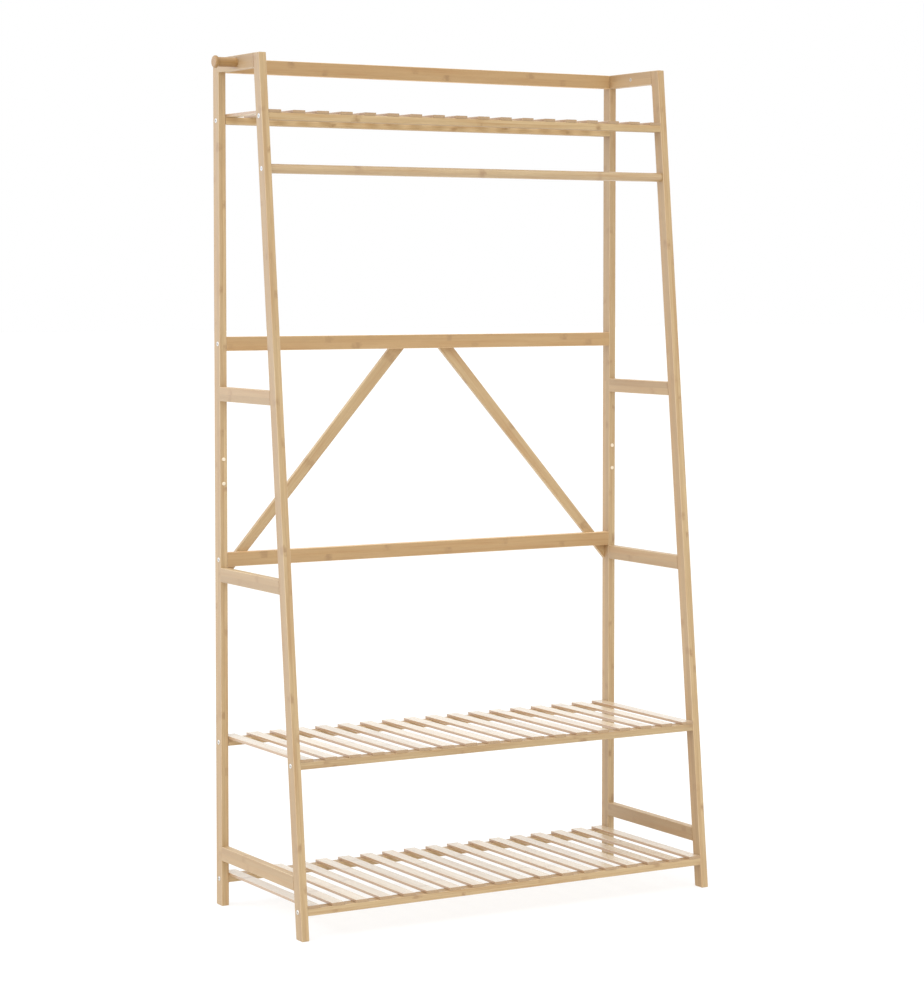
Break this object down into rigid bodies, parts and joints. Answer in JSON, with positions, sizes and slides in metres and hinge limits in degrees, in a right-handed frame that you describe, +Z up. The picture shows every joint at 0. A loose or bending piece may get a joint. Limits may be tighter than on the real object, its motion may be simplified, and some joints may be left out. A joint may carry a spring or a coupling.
{
  "type": "clothes rack",
  "caption": "Free-standing bamboo clothes rack with leaning front posts, a hanging rod, a diagonally braced back, side pegs and slatted shelves at the top, middle and bottom.",
  "frame": {"origin": "on the floor in the middle of the footprint, under the middle of the bounding box", "axes": "+X to the right seen from the front, +Y to the upright back, +Z up"},
  "size_m": [1.102, 0.3998, 1.795],
  "materials": {
    "bamboo_posts": "laminated bamboo, planed and sanded, clear satin lacquer",
    "bamboo_side_rails": "laminated bamboo, planed and sanded, clear satin lacquer",
    "bamboo_back_rails": "laminated bamboo, planed and sanded, clear satin lacquer",
    "bamboo_braces": "laminated bamboo, planed and sanded, clear satin lacquer",
    "bamboo_shelf_rails": "laminated bamboo, planed and sanded, clear satin lacquer",
    "bamboo_slats": "laminated bamboo, planed and sanded, clear satin lacquer",
    "bamboo_turned": "laminated bamboo, planed and sanded, clear satin lacquer",
    "dowel_wood": "plain fluted hardwood dowel, glued",
    "zinc_plated_steel": "bright zinc plate",
    "cap_plastic": "moulded cream polyethylene, slightly glossy",
    "steel_pins": "bright steel brads, heads set flush"
  },
  "bodies": {
    "root": {"back_rail_barrel_nuts": "zinc_plated_steel", "back_rail_bolts": "zinc_plated_steel", "back_rail_lower": "bamboo_back_rails", "back_rail_middle": "bamboo_back_rails", "back_rail_top": "bamboo_back_rails", "bottom_shelf_front_rail": "bamboo_shelf_rails", "bottom_shelf_pins": "steel_pins", "bottom_shelf_rear_rail": "bamboo_shelf_rails", "bottom_shelf_slats": "bamboo_slats", "brace_left": "bamboo_braces", "brace_right": "bamboo_braces", "brace_screws": "zinc_plated_steel", "coat_peg_left": "bamboo_turned", "coat_peg_right": "bamboo_turned", "front_post_left": "bamboo_posts", "front_post_right": "bamboo_posts", "hanging_rod": "bamboo_turned", "middle_shelf_front_rail": "bamboo_shelf_rails", "middle_shelf_pins": "steel_pins", "middle_shelf_rear_rail": "bamboo_shelf_rails", "middle_shelf_slats": "bamboo_slats", "peg_screws": "zinc_plated_steel", "rear_post_left": "bamboo_posts", "rear_post_right": "bamboo_posts", "rod_screws": "zinc_plated_steel", "shelf_barrel_nuts": "zinc_plated_steel", "shelf_bolts": "zinc_plated_steel", "side_frame_dowels_left": "dowel_wood", "side_frame_dowels_right": "dowel_wood", "side_rail_bottom_left": "bamboo_side_rails", "side_rail_bottom_right": "bamboo_side_rails", "side_rail_lower_left": "bamboo_side_rails", "side_rail_lower_right": "bamboo_side_rails", "side_rail_top_left": "bamboo_side_rails", "side_rail_top_right": "bamboo_side_rails", "side_rail_upper_left": "bamboo_side_rails", "side_rail_upper_right": "bamboo_side_rails", "top_shelf_front_rail": "bamboo_shelf_rails", "top_shelf_pins": "steel_pins", "top_shelf_rear_rail": "bamboo_shelf_rails", "top_shelf_slats": "bamboo_slats", "wall_hole_caps": "cap_plastic"}
  },
  "joints": []
}
